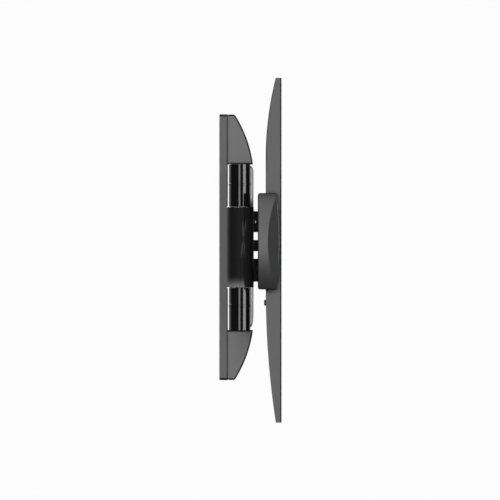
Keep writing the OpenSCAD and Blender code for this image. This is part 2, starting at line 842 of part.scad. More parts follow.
// The rail's side outline: straight in the middle, with a long curve towards each end
module rail_outline() {
    top_r = bow_r(rail_top - rail_bend_top);
    bottom_r = bow_r(rail_bend_bottom - rail_bottom);
    translate([rail_back_d, rail_bend_bottom])
        square([rail_face_d - rail_back_d, rail_bend_top - rail_bend_bottom]);
    intersection() {
        translate([rail_back_d, rail_bend_top])
            square([rail_face_d - rail_back_d, rail_top - rail_bend_top]);
        translate([rail_back_d + top_r, rail_bend_top]) circle(r = top_r, $fn = 360);
    }
    intersection() {
        translate([rail_back_d, rail_bottom])
            square([rail_face_d - rail_back_d, rail_bend_bottom - rail_bottom]);
        translate([rail_back_d + bottom_r, rail_bend_bottom]) circle(r = bottom_r, $fn = 360);
    }
}

// Room for one crossbar tube to drop by the lift and then leave to the back
module tube_notch(z, top, bottom) {
    r = tube_r + gap;
    for (drop = [0, lift]) translate([tube_d, z - drop]) circle(r = r);
    translate([tube_d - r, z - lift]) square([2 * r, lift]);
    translate([hook_d - eps, bottom]) square([tube_d - hook_d + eps, top - bottom]);
}

module rail_side() {
    difference() {
        union() {
            rail_outline();
            round_rect(hook_d, tube_z[0], rail_back_d + 6, tube_z[0] + hook_top, 3);
        }
        tube_notch(tube_z[0], tube_z[0] + notch_up, tube_z[0] - notch_down[0]);
        tube_notch(tube_z[1], tube_z[1] + tube_r + gap, tube_z[1] - notch_down[1]);
    }
}

module rail() {
    x = rail_pitch / 2;
    difference() {
        union() {
            difference() {
                from_side(x - rail_w / 2, x + rail_w / 2) rail_side();
                block(x - rail_w / 2 + rail_t, x + rail_w / 2 - rail_t, hook_d - eps, rail_face_d - rail_t,
                      rail_bottom - eps, rail_top + eps);
            }
            block(x - rail_w / 2 + rail_t / 2, x + rail_w / 2 - rail_t / 2,
                  tab_d, tab_d + tab_t, tab_z[0], tab_z[1]);
        }
        for (h = screen_hole_z, s = [-1, 1])
            rod_d(x, rail_face_d - rail_t - eps, rail_face_d + eps, rail_mid_z + s * h, screen_hole_r);
        rod_d(x, rail_back_d - eps, tab_d + tab_t + eps, lock_z, lock_r);
    }
}

module rail_right() { color("#626567") rail(); }
module rail_left() { color("#626567") flip_x() rail(); }

module lock_screw() {
    x = rail_pitch / 2;
    rod_d(x, tab_d, latch_d + latch_t + slip + lock_nut_h, lock_z, lock_r);
    rod_d(x, tab_d - lock_head_h, tab_d, lock_z, lock_head_r);
}

module lock_nut() {
    x = rail_pitch / 2;
    d0 = latch_d + latch_t + slip;
    difference() {
        hex_d(x, d0, d0 + lock_nut_h, lock_z, lock_hex_r);
        rod_d(x, d0 - eps, d0 + lock_nut_h + eps, lock_z, lock_r);
    }
}

// A bent strip whose top lip stops the lower tube from dropping out of its notch
module latch() {
    x = rail_pitch / 2;
    w = rail_w - 2 * rail_t - 2 * latch_play;
    top = tube_z[1] - tube_r - gap;
    difference() {
        union() {
            block(x - w / 2, x + w / 2, latch_d, latch_d + latch_t, lock_z - latch_tail, top);
            block(x - w / 2, x + w / 2, latch_d, latch_d + latch_lip, top - latch_t, top);
        }
        for (z = [lock_z, lock_z + latch_drop])
            rod_d(x, latch_d - eps, latch_d + latch_t + eps, z, lock_r + gap);
        block(x - lock_r - gap, x + lock_r + gap, latch_d - eps, latch_d + latch_t + eps,
              lock_z, lock_z + latch_drop);
    }
}

module lock_screw_right() { color("#2a2b2c") lock_screw(); }
module lock_screw_left() { color("#2a2b2c") flip_x() lock_screw(); }
module lock_nut_right() { color("#8c8e90") lock_nut(); }
module lock_nut_left() { color("#8c8e90") flip_x() lock_nut(); }
module latch_right() { color("#8c8e90") latch(); }
module latch_left() { color("#8c8e90") flip_x() latch(); }

wall_plate();
edge_trims();
wall_ear_upper();
wall_ear_lower();
cover_upper();
cover_lower();
wall_pin();
wall_pin_nut();
wall_sleeve();
wall_bushes();
rear_arm_upper();
rear_arm_lower();
elbow_barrel_upper();
elbow_barrel_lower();
elbow_pin();
elbow_plugs();
link_plate_upper();
link_plate_lower();
link_spine();
link_barrel();
link_bushes();
elbow_washers();
shroud_rear();
shroud_front();
shroud_screws();
head_pin();
head_pin_nut();
head_washers();
knuckle();
clamp_bolt();
clamp_nut();
tilt_plate();
tilt_bolt();
tilt_nut();
crossbar_tube_upper();
crossbar_tube_lower();
crossbar_bracket();
level_bolt();
level_nut();
level_washer();
end_cap_left();
end_cap_right();
cap_screws();
rail_left();
rail_right();
lock_screw_left();
lock_screw_right();
lock_nut_left();
lock_nut_right();
latch_left();
latch_right();
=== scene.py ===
import json
import math

import bmesh
import bpy
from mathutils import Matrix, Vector


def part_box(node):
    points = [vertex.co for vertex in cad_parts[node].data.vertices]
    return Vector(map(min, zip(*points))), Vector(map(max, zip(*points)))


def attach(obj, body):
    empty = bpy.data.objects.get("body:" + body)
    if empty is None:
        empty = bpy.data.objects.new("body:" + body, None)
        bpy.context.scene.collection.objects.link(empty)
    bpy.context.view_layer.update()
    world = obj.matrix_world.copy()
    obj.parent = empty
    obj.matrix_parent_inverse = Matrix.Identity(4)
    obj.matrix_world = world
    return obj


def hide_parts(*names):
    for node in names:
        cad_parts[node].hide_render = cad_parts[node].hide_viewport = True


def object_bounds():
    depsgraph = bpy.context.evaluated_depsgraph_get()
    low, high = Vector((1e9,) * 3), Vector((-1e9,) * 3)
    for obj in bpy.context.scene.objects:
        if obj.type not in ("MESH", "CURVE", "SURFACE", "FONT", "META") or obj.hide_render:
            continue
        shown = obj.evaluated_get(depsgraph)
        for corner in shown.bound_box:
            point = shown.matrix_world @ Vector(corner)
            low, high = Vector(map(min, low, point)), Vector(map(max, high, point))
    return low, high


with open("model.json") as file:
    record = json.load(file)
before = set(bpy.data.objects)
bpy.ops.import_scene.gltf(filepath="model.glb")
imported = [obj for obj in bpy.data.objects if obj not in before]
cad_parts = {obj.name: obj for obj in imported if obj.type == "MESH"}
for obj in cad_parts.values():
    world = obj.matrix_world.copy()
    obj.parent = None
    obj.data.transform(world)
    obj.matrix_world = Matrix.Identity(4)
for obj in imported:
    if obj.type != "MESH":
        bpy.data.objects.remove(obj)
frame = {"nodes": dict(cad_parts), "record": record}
cad_low, cad_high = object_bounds()

MM = 0.001
NODES = frame["nodes"]
BODY_OF = {node: body for body, members in frame["record"]["behaviour"]["bodies"].items() for node in members}
SLOT_OF = {part["node"]: part["material_slot"] for part in frame["record"]["subparts"]}


# ---------------------------------------------------------------- places taken from the frame

def span(node, axis):
    """The node's lowest and highest place along an axis; along Y that is its depth from the wall."""
    low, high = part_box(node)
    return (-high[1], -low[1]) if axis == 1 else (low[axis], high[axis])


def middle(node, axis):
    return sum(span(node, axis)) / 2


# ---------------------------------------------------------------- shader maths

class Value:
    """A socket in a material's tree, with arithmetic that adds the Math nodes."""

    def __init__(self, tree, socket):
        self.tree = tree
        self.socket = socket

    def math(self, operation, first, second=0.0):
        node = self.tree.nodes.new("ShaderNodeMath")
        node.operation = operation
        for slot, value in zip(node.inputs, (first, second)):
            join(self.tree, slot, value)
        return Value(self.tree, node.outputs[0])

    def __add__(self, other):
        return self.math("ADD", self, other)

    __radd__ = __add__

    def __sub__(self, other):
        return self.math("SUBTRACT", self, other)

    def __rsub__(self, other):
        return self.math("SUBTRACT", other, self)

    def __mul__(self, other):
        return self.math("MULTIPLY", self, other)

    __rmul__ = __mul__

    def __pow__(self, other):
        return self.math("POWER", self, other)

    def over(self, edge):
        """1 where the value is above the edge, and 0 elsewhere."""
        return self.math("GREATER_THAN", self, edge)


def join(tree, slot, value):
    """Puts a number, a colour or another node's socket into a socket."""
    if isinstance(value, Value):
        tree.links.new(value.socket, slot)
    else:
        slot.default_value = value


def set_stops(ramp, stops):
    """Gives a colour ramp its grey stops, each a (place from 0 to 1, tone) pair."""
    ramp.interpolation = "LINEAR"
    while len(ramp.elements) < len(stops):
        ramp.elements.new(0.5)
    for key, (place, tone) in zip(ramp.elements, sorted(stops)):
        key.position = place
        key.color = (tone, tone, tone, 1)


class Nodes:
    """A node tree, and the one way in which nodes are added to it."""

    prefix = "ShaderNode"

    def __init__(self, tree):
        self.tree = tree

    def make(self, kind, settings=None, output=0, **sockets):
        """Adds a node, applies its settings, fills its sockets and returns one output.

        A socket goes by its name, with _ for a space, or by its number, as in _0."""
        node = self.tree.nodes.new(self.prefix + kind)
        for name, value in (settings or {}).items():
            if name == "stops":
                set_stops(node.color_ramp, value)
            else:
                setattr(node, name, value)
        for name, value in sockets.items():
            slot = node.inputs[int(name[1:]) if name[0] == "_" else name.replace("_", " ")]
            join(self.tree, slot, value)
        return Value(self.tree, node.outputs[output])


class Finish(Nodes):
    """One material: a Principled shader and what feeds it."""

    def __init__(self, name, **sockets):
        self.material = bpy.data.materials.new(name)
        self.material.use_nodes = True
        super().__init__(self.material.node_tree)
        self.shader = next(n for n in self.tree.nodes if n.type == "BSDF_PRINCIPLED")
        self.feed(**sockets)

    def feed(self, **sockets):
        for name, value in sockets.items():
            join(self.tree, self.shader.inputs[name.replace("_", " ")], value)

    def place(self, stretch=(1, 1, 1)):
        """The point on the object, stretched along each axis."""
        spot = self.make("TexCoord", output="Object")
        return self.make("Mapping", {"vector_type": "POINT"}, Vector=spot, Scale=stretch)

    def noise(self, grain, detail=2.0, rough=0.5, stretch=(1, 1, 1)):
        """Noise between 0 and 1, whose grains are about this many metres across."""
        return self.make("TexNoise", Vector=self.place(stretch), Scale=1 / grain, Detail=detail,
                         Roughness=rough)

    def mix(self, factor, first, second, blend="MIX"):
        """A blend of two colours; in a Mix node, the colour sockets are inputs 6 and 7 and output 2."""
        return self.make("Mix", {"data_type": "RGBA", "blend_type": blend}, output=2,
                         _0=factor, _6=first, _7=second)

    def tint(self, colour, tone):
        """A colour made lighter or darker by a tone that is a socket."""
        return self.mix(1.0, colour, tone, blend="MULTIPLY")

    def ramp(self, value, stops):
        """A grey tone that follows the stops, each a (place from 0 to 1, tone) pair."""
        return self.make("ValToRGB", {"stops": stops}, Fac=value)

    def along(self, axis, low, high):
        """How far a point lies from low to high along an axis, from 0 to 1."""
        spot = self.make("TexCoord", output="Object")
        place = self.make("SeparateXYZ", output=axis, _0=spot)
        return self.make("MapRange", {"clamp": True}, Value=place, From_Min=low, From_Max=high)

    def mark(self, name):
        """1 on the faces that carry a mark, and 0 elsewhere."""
        return self.make("Attribute", {"attribute_name": name}, output="Fac")

    def wear(self, grain, share):
        """Rubbed patches along the pieces' edges: the share of the edge that is rubbed goes from 0 to 1."""
        return self.mark("edge") * self.noise(grain, 3.0, 0.6).over(1 - share)

    def relief(self, height, distance):
        self.feed(Normal=self.make("Bump", Height=height, Strength=1.0, Distance=distance))


def shade(colour, factor):
    return tuple(c * factor for c in colour[:3]) + (1.0,)


def powder_coat(name, colour, grain=0.9 * MM, roughness=0.5, shine=0.5):
    """Baked powder paint: an orange-peel surface, faint clouds in its colour, a few rubbed edges."""
    coat = Finish(name, Specular_IOR_Level=shine)
    peel = coat.noise(grain, 2.0, 0.5)
    clouds = coat.noise(26 * MM, 3.0, 0.6)
    rub = coat.wear(3.5 * MM, 0.36)
    base = coat.mix(clouds, shade(colour, 0.93), shade(colour, 1.07))
    # Painted shade: the marked roundings are darkened where their edges turn away from the light.
    groove = coat.mark("groove")
    base = coat.mix(groove, base, shade(colour, 0.14))
    coat.feed(Base_Color=coat.mix(rub * 0.45, base, shade((0.33, 0.33, 0.34), 1.0)),
              Roughness=roughness + 0.08 * clouds + 0.05 * peel - 0.12 * rub + 0.35 * groove)
    coat.relief(peel + 0.25 * coat.noise(grain * 0.35, 1.0), 0.06 * MM)
    return coat.material


def moulded_plastic(name, colour, grain=0.55 * MM, roughness=0.55, depth_mm=0.03, shine=0.35, tone=None):
    """Injection-moulded plastic with a spark-eroded grain; tone(plastic) may paint light and shade along its
    length.
    """
    plastic = Finish(name, Specular_IOR_Level=shine)
    pits = plastic.make("TexVoronoi", {"feature": "SMOOTH_F1"}, output="Distance",
                        Vector=plastic.place(), Scale=1 / grain, Smoothness=0.6)
    flow = plastic.noise(34 * MM, 2.0, 0.55, (1, 1, 0.4))
    rub = plastic.wear(2.6 * MM, 0.3)
    base = plastic.mix(flow, shade(colour, 0.95), shade(colour, 1.05))
    # Painted shade: the marked roundings are darkened where their edges turn away from the light.
    groove = plastic.mark("groove")
    base = plastic.mix(groove, base, shade(colour, 0.09))
    if tone:
        base = plastic.tint(base, tone(plastic))
    plastic.feed(Base_Color=plastic.mix(rub * 0.2, base, shade(colour, 1.3)),
                 Roughness=roughness + 0.06 * flow - 0.1 * rub + 0.35 * groove)
    plastic.relief(pits + 0.3 * plastic.noise(grain * 0.5, 1.0), depth_mm * MM)
    return plastic.material


def gloss_enamel(name, colour):
    """Poured gloss enamel: nearly flat, with a long soft ripple and a few dust specks."""
    enamel = Finish(name, Specular_IOR_Level=0.6, Coat_Weight=0.6, Coat_Roughness=0.05)
    ripple = enamel.noise(5 * MM, 1.0, 0.4, (1, 1, 0.5))
    specks = enamel.noise(1.3 * MM, 1.0, 0.4).over(0.74)
    haze = enamel.noise(18 * MM, 3.0, 0.6)
    enamel.feed(Base_Color=enamel.mix(haze, shade(colour, 0.8), shade(colour, 1.3)),
                Roughness=0.1 + 0.05 * haze + 0.1 * specks)
    enamel.relief(ripple + 0.05 * specks, 0.006 * MM)
    return enamel.material


def satin_plastic(name, colour, tone=None):
    """Smooth black plastic with fine hairlines from handling; tone(plastic) may lighten it in places with
    painted highlights and reflections.
    """
    plastic = Finish(name, Specular_IOR_Level=0.09)
    hairs = plastic.noise(0.35 * MM, 1.0, 0.5, (1, 1, 0.06))
    haze = plastic.noise(22 * MM, 3.0, 0.6)
    rub = plastic.wear(3.0 * MM, 0.3)
    base = plastic.mix(haze, shade(colour, 0.9), shade(colour, 1.12))
    # Painted shade: the marked roundings are darkened where their edges turn away from the light.
    base = plastic.mix(plastic.mark("groove"), base, shade(colour, 0.4))
    if tone:
        base = plastic.tint(base, tone(plastic))
    plastic.feed(Base_Color=base, Roughness=0.42 + 0.1 * haze + 0.06 * hairs + 0.1 * rub)
    plastic.relief(hairs + 0.6 * plastic.noise(9 * MM, 1.0), 0.012 * MM)
    return plastic.material


def plated_steel(name, colour, lines, roughness=0.3):
    """Bright metal with tool lines: lines says how the pattern is stretched along each axis."""
    metal = Finish(name, Metallic=1.0)
    marks = metal.noise(1.6 * MM, 4.0, 0.6, lines)
    stain = metal.noise(7 * MM, 3.0, 0.6)
    metal.feed(Base_Color=metal.mix(stain, shade(colour, 0.82), shade(colour, 1.05)),
               Roughness=roughness + 0.12 * marks + 0.1 * stain)
    metal.relief(marks, 0.02 * MM)
    return metal.material


def black_oxide(name, colour):
    """Oiled black screws: dull in the hollows, a little bright steel on the corners."""
    steel = Finish(name, Specular_IOR_Level=0.6)
    blotch = steel.noise(2.2 * MM, 3.0, 0.6)
    rub = steel.wear(1.2 * MM, 0.45)
    steel.feed(Base_Color=steel.mix(rub * 0.7, shade(colour, 1.0), (0.3, 0.3, 0.31, 1.0)),
               Roughness=0.36 + 0.16 * blotch, Metallic=0.25 + 0.5 * rub)
    steel.relief(blotch, 0.02 * MM)
    return steel.material


def natural_nylon(name, colour):
    """Cut nylon: creamy, with fine turning lines."""
    nylon = Finish(name, Specular_IOR_Level=0.45)
    lines = nylon.noise(0.4 * MM, 1.0, 0.5, (0.15, 0.15, 2))
    stain = nylon.noise(6 * MM, 3.0, 0.6)
    nylon.feed(Base_Color=nylon.mix(stain, shade(colour, 0.9), shade(colour, 1.05)),
               Roughness=0.42 + 0.12 * lines)
    nylon.relief(lines, 0.02 * MM)
    return nylon.material


GREY_PAINT = (0.134, 0.135, 0.137)


def cover_painted_shade(plastic):
    """Painted shade: the covers darken a little towards the wall plate."""
    low, high = span("cover_upper", 1)
    toward_screen = plastic.along(1, -low, -high)
    return plastic.ramp(toward_screen, [(0.0, 0.76), (0.08, 0.82), (0.2, 0.94), (0.3, 0.99), (1.0, 1.0)])


def cap_painted_light(plastic):
    """Painted light and shade: the end caps are lightest below their middle and darken towards both ends."""
    low, high = span("end_cap_left", 2)
    upward = plastic.along(2, low, high)
    return plastic.ramp(upward, [
        (0.0, 0.05), (0.05, 0.1), (0.13, 0.18), (0.22, 0.33), (0.3, 0.56), (0.36, 0.8), (0.42, 0.94),
        (0.5, 1.0), (0.58, 0.92), (0.75, 0.84), (0.88, 0.72), (0.93, 0.6), (0.97, 0.36), (1.0, 0.24)])


# The creases are painted highlights: lighter lines in the shroud's colour.
CREASE_FOOT, CREASE_TOP = -15 * MM, 37 * MM            # heights between which the creases run
CREASE_NEAR, CREASE_FAR = 26.5 * MM, 34.5 * MM         # depths between which they lie
# heights in millimetres, each with the creases' strength there
CREASE_SHINE = [(-15, 0.0), (-8, 0.9), (0, 1.0), (6, 0.5), (11, 0.05), (16, 0.7), (24, 1.0), (31, 0.4),
                (37, 0.0)]
# heights in millimetres, each with a crease's place from near (0) to far (1)
CREASE_PATHS = (
    [(-15, 0.19), (-8, 0.2), (0, 0.26), (6, 0.38), (11, 0.48), (16, 0.42), (31, 0.39), (37, 0.37)],
    [(-15, 0.74), (-8, 0.66), (5, 0.58), (11, 0.54), (15, 0.62), (20, 0.68), (31, 0.85), (37, 0.9)])
CREASE_SPREAD = 0.006        # the higher, the wider and softer the creases
# the gains set how much the painted highlights lighten the two halves
REAR_GAIN, FRONT_GAIN = 8.5, 8.0     # how much lighter they make the two halves
# the lip gain sets how much the painted reflection lightens the lower lip
LIP_GAIN = 16.0              # how much lighter the rear half's lower lip is


def painted_crease_highlights(plastic):
    """Two painted highlight lines on the shroud's round end, which draw together at a waist."""
    height = plastic.along(2, CREASE_FOOT, CREASE_TOP)
    place = plastic.along(1, -CREASE_NEAR, -CREASE_FAR)
    west = span("shroud_rear", 0)[0]
    end = plastic.along(0, west + 12 * MM, west + 6 * MM)

    def up_the_end(pairs):
        return plastic.ramp(height, [((z * MM - CREASE_FOOT) / (CREASE_TOP - CREASE_FOOT), tone)
                                     for z, tone in pairs])

    lines = 0.0
    for path in CREASE_PATHS:
        offset = place - up_the_end(path)
        lines = lines + (CREASE_SPREAD * ((offset * offset + CREASE_SPREAD) ** -1.0)) ** 2.0
    return lines * up_the_end(CREASE_SHINE) * end


def rear_shroud_painted_light(plastic):
    """Painted reflection makes the rear shroud's lower lip paler, and painted highlights run along its
    creases.
    """
    low = span("shroud_rear", 2)[0]
    upward = plastic.along(2, low, low + 15 * MM)
    pale = plastic.ramp(upward, [(0.0, 1.0), (0.2, 0.85), (0.4, 0.5), (0.62, 0.15), (0.85, 0.02),
                                 (1.0, 0.0)])
    west = span("shroud_rear", 0)[0]
    end = plastic.along(0, west + 26 * MM, west + 15 * MM)
    return 1.0 + LIP_GAIN * pale * end + REAR_GAIN * painted_crease_highlights(plastic)


def front_shroud_painted_highlights(plastic):
    """The painted highlight lines run on over the front shroud's edge."""
    return 1.0 + FRONT_GAIN * painted_crease_highlights(plastic)


FINISHES = {
    "plate_steel": powder_coat("grey powder coat", GREY_PAINT),
    "rail_steel": powder_coat("rail powder coat", (0.124, 0.125, 0.128), 0.8 * MM, 0.52),
    "arm_steel": powder_coat("dark powder coat", (0.036, 0.0365, 0.038), 0.8 * MM, 0.45),
    "barrel_gloss": gloss_enamel("gloss black enamel", (0.004, 0.004, 0.0045)),
    "cover_plastic": moulded_plastic("grey cover plastic", (0.186, 0.187, 0.19), tone=cover_painted_shade),
    "cap_plastic": moulded_plastic("grey cap plastic", (0.146, 0.147, 0.15), 0.5 * MM, 0.5, tone=cap_painted_light),
    "shroud_plastic": satin_plastic("black shroud plastic", (0.0112, 0.0112, 0.0116),
                                    tone=front_shroud_painted_highlights),
    "plug_plastic": moulded_plastic("black plug plastic", (0.018, 0.018, 0.018), 0.4 * MM, 0.5),
    "zinc_steel": plated_steel("bright zinc", (0.62, 0.62, 0.6), (1, 1, 1)),
    "sleeve_steel": plated_steel("ground steel", (0.44, 0.44, 0.44), (0.1, 0.1, 6), 0.26),
    "black_steel": black_oxide("black oxide steel", (0.02, 0.02, 0.021)),
    "nylon": natural_nylon("natural nylon", (0.72, 0.7, 0.64)),
}
REAR_SHROUD = satin_plastic("black rear shroud plastic", (0.0103, 0.0103, 0.0107), tone=rear_shroud_painted_light)
# Painted shade: the cap's inlay is coloured dark to stand for a facet turned away from the light.
SHADED_INLAY = satin_plastic("grey inlay plastic", (0.04, 0.0405, 0.042))


# ---------------------------------------------------------------- mesh helpers

WIDE_ROUNDING = 0.95 * MM


def piece(name, mesh, slot, body, replaces=(), finish=None):
    """A finished piece: its mesh is in the row frame and its object sits at the origin."""
    made = bpy.data.objects.new(name, mesh)
    bpy.context.scene.collection.objects.link(made)
    mesh.materials.clear()
    mesh.materials.append(finish or FINISHES[slot])
    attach(made, body)
    if replaces:
        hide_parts(*replaces)
    return made


def from_bmesh(name, work):
    mesh = bpy.data.meshes.new(name)
    work.to_mesh(mesh)
    work.free()
    flat_normals(mesh)
    return mesh


def flat_normals(mesh, limit=35):
    """Keeps broad faces flat while their rounded edges stay smooth.

    A corner takes the normals of the unmarked faces that lie within the limit of its own, or of
    the marked ones where there are no others."""
    marked = [False] * len(mesh.polygons)
    for name in ("edge", "groove"):
        layer = mesh.attributes.get(name)
        if layer and layer.domain == "FACE":
            marked = [was or item.value > 0.5 for was, item in zip(marked, layer.data)]
    around = [[] for _ in mesh.vertices]
    for face in mesh.polygons:
        for vert in face.vertices:
            around[vert].append(face)
    close = math.cos(math.radians(limit))
    normals = []
    for face in mesh.polygons:
        for vert in face.vertices:
            near_by = [other for other in around[vert] if other.normal.dot(face.normal) > close]
            plain = [other for other in near_by if not marked[other.index]]
            total = Vector()
            for other in plain or near_by:
                total += other.normal * other.area
            normals.append(total.normalized() if total.length > 0 else face.normal)
    mesh.shade_smooth()
    mesh.normals_split_custom_set(normals)


def edge_angle(edge):
    return edge.calc_face_angle_signed(0.0) if len(edge.link_faces) == 2 else 0.0


def centre_of(edge):
    """Middle of an edge as (sideways place, depth, height)."""
    mid = (edge.verts[0].co + edge.verts[1].co) / 2
    return mid.x, -mid.y, mid.z


def round_edges(work, width, segments, wanted, mark="edge", sharp=30):
    """Rounds the outer corners that wanted(x, depth, z) picks, and marks the new faces.

    The mark is "edge" where the paint rubs off, or the painted-shade mark where the rounding is painted
    darker as shade. A wide rounding isn't held back by short edges beside it."""
    layer = work.faces.layers.float.get(mark) or work.faces.layers.float.new(mark)
    picked = [e for e in work.edges if edge_angle(e) > math.radians(sharp) and wanted(*centre_of(e))]
    if not picked:
        return
    made = bmesh.ops.bevel(work, geom=picked, offset=width, offset_type="OFFSET", segments=segments,
                           profile=0.5, affect="EDGES", clamp_overlap=width < WIDE_ROUNDING,
                           loop_slide=False)
    for face in made["faces"]:
        face[layer] = 1.0


def anywhere(x, depth, z):
    return True


def near(value, target, margin=0.15 * MM):
    return abs(value - target) < margin


def merged(node):
    """A copy of a CAD node's mesh with its triangles joined into whole faces."""
    work = bmesh.new()
    work.from_mesh(NODES[node].data)
    bmesh.ops.remove_doubles(work, verts=work.verts, dist=0.002 * MM)
    bmesh.ops.dissolve_limit(work, angle_limit=math.radians(0.4), verts=work.verts, edges=work.edges)
    return work


def slice_at(work, places, normal):
    """Cuts every face where it crosses the planes, so that a face can be bent there."""
    for place in places:
        bmesh.ops.bisect_plane(work, geom=work.verts[:] + work.edges[:] + work.faces[:],
                               plane_co=place, plane_no=normal)


def softened(node, rounds=((0.35 * MM, 2, anywhere),), bend=None, finish=None):
    """The CAD node with rounded edges: rounds lists a width, steps, a choice of edges and a mark."""
    work = merged(node)
    for width, segments, wanted, *mark in rounds:
        round_edges(work, width, segments, wanted, *mark)
    if bend:
        bend(work)
    mesh = from_bmesh(node + " softened", work)
    return piece(node + "_finished", mesh, SLOT_OF[node], BODY_OF[node], [node], finish)


for node_name, cad in NODES.items():
    cad.data.materials.clear()
    cad.data.materials.append(FINISHES[SLOT_OF[node_name]])


# ---------------------------------------------------------------- wall side

def finish_plate():
    """Rounds the pan's fold and rim, and paints shade on its corners at the short ends."""
    half, top = span("wall_plate", 0)[1], span("wall_plate", 2)[1]
    outside = lambda x, depth, z: near(abs(x), half, 4.2 * MM) or near(abs(z), top, 4.2 * MM)
    folded = lambda x, depth, z: near(depth, 0) and outside(x, depth, z)
    rim = lambda x, depth, z: depth > 5 * MM and near(abs(x), half)

    def dark_ends(work):
        """Marks the rounded corners at the plate's two short ends, which are painted dark as shade."""
        groove = work.faces.layers.float.get("groove") or work.faces.layers.float.new("groove")
        for face in work.faces:
            if abs(face.calc_center_median().z) > top - 3.4 * MM and 0.25 < abs(face.normal.z) < 0.97:
                face[groove] = 1.0

    softened("wall_plate", ((1.3 * MM, 3, folded), (0.6 * MM, 3, rim), (0.35 * MM, 2, anywhere)), dark_ends)


BEND_START, BEND_FULL = 9 * MM, 2.5 * MM     # how far inside its outer face a wall bends, and bends fully


def wall_share(x, outer):
    """How much of a bend a point takes: all of it in the outer wall, and none further in."""
    return min(1, max(0, (abs(x) - outer + BEND_START) / (BEND_START - BEND_FULL)))


def crown(low, high, half, swell):
    """Bends the walls at x = +-half into a shallow crown between two depths."""
    def bend(work):
        steps = 9
        planes = [(0, -(low + (high - low) * k / steps), 0) for k in range(1, steps)]
        slice_at(work, planes, (0, 1, 0))
        for side in (-1, 1):
            places = [(side * (half - inside), 0, 0) for inside in (BEND_START, BEND_FULL)]
            slice_at(work, places, (1, 0, 0))
        for vert in work.verts:
            along = (-vert.co.y - low) / (high - low) * 2 - 1
            vert.co.x -= math.copysign(swell * along * along * wall_share(vert.co.x, half), vert.co.x)
    return bend


def finish_covers():
    """Gives each cover a wide rounding along its top and its curved front, painted dark as shade, and bulging
    sides.
    """
    for node in ("cover_upper", "cover_lower"):
        low, high = span(node, 1)
        half = span(node, 0)[1]
        outer = max(abs(v) for v in span(node, 2))
        at_top = lambda x, depth, z: near(abs(z), outer) and depth > low + 0.3 * MM
        on_front = lambda x, depth, z: depth > low + 6 * MM and near(abs(x), half, 1.0 * MM)
        softened(node, ((2.0 * MM, 4, at_top, "groove"), (1.9 * MM, 4, on_front, "groove"),
                        (0.4 * MM, 2, anywhere)),
                 crown(low, high, half, 0.8 * MM))


finish_plate()
finish_covers()
for node_name in ("wall_ear_upper", "wall_ear_lower", "rear_arm_upper", "rear_arm_lower",
                  "elbow_plugs", "link_plate_upper", "link_plate_lower", "link_spine", "link_barrel",
                  "knuckle", "tilt_plate", "crossbar_bracket", "latch_left", "latch_right"):
    softened(node_name)
for node_name in ("elbow_barrel_upper", "elbow_barrel_lower"):
    softened(node_name, ((0.4 * MM, 3, anywhere),))


# ---------------------------------------------------------------- end caps

CAP_BULGE = 4.4 * MM         # how far the cap's front edge bows out
CAP_INLAY = 0.7 * MM         # depth of the inlay's floor
# the rim beside the inlay is painted dark as shade
CAP_RIM = 1.0 * MM           # width of the dark rim beside the inlay
DOME_SLICES = (28, 7)        # strips up the cap and across it, between which the dome bends
DOME_PEAK = 0.1              # height of the dome's peak, in halves of the cap's height from its middle
DOME_TOP = 1.0 * MM          # how much the dome falls away upward, downward and toward the screen
DOME_FOOT = 2.4 * MM
DOME_FRONT = 0.6 * MM


def finish_caps():
    """Rounds each cap's rim, lays in its inlay, and bends its outer wall into a shallow dome."""
    for node in ("end_cap_left", "end_cap_right"):
        low, high = span(node, 0)
        outer = max(abs(low), abs(high))
        foot, top = span(node, 2)
        back, front = span(node, 1)
        half = (top - foot) / 2

        def front_edge(z):
            """Depth of the cap's curved front edge at a height."""
            return front - CAP_BULGE * ((z - foot - half) / half) ** 2

        def drop(depth, z):
            """How far the dome falls away from the outer face, most of all at the foot."""
            up = (z - foot - half) / half
            out = (depth - back) / (front - back)
            fall = DOME_TOP * max(0, up - DOME_PEAK) ** 2 + DOME_FOOT * max(0, DOME_PEAK - up) ** 2
            return fall + DOME_FRONT * out * out

        def mark_and_dome(work):
            groove = work.faces.layers.float.get("groove")
            inlay = work.faces.layers.float.new("inlay")
            for face in work.faces:
                spot = face.calc_center_median()
                on_floor = near(abs(spot.x), outer - CAP_INLAY) and -spot.y > back + 11 * MM
                if abs(face.normal.x) > 0.9 and on_floor:
                    face[inlay] = 1.0
                # Painted shade: the strip along the cap's curved front edge is marked to be painted dark.
                elif abs(spot.x) > outer - 0.6 * MM and -spot.y > front_edge(spot.z) - CAP_RIM:
                    face[groove] = 1.0
            rows, columns = DOME_SLICES
            slice_at(work, [(0, 0, foot + (top - foot) * k / rows) for k in range(1, rows)], (0, 0, 1))
            slice_at(work, [(0, -(back + (front - back) * k / columns), 0) for k in range(1, columns)],
                     (0, 1, 0))
            for vert in work.verts:
                fall = drop(-vert.co.y, vert.co.z) * wall_share(vert.co.x, outer)
                vert.co.x -= math.copysign(fall, vert.co.x)

        # Painted shade: the rounded rim at the top, foot and back is painted dark.
        def rim(x, depth, z):
            edge = near(z, top, 1.3 * MM) or near(z, foot, 1.3 * MM) or near(depth, back, 1.3 * MM)
            return near(abs(x), outer) and edge and depth < front - CAP_BULGE - 1 * MM

        made = softened(node, ((1.0 * MM, 3, rim, "groove"), (0.25 * MM, 2, anywhere)), mark_and_dome)
        made.data.materials.append(SHADED_INLAY)
        for face, mark in zip(made.data.polygons, made.data.attributes["inlay"].data):
            face.material_index = int(mark.value > 0.5)


finish_caps()


# ---------------------------------------------------------------- rails

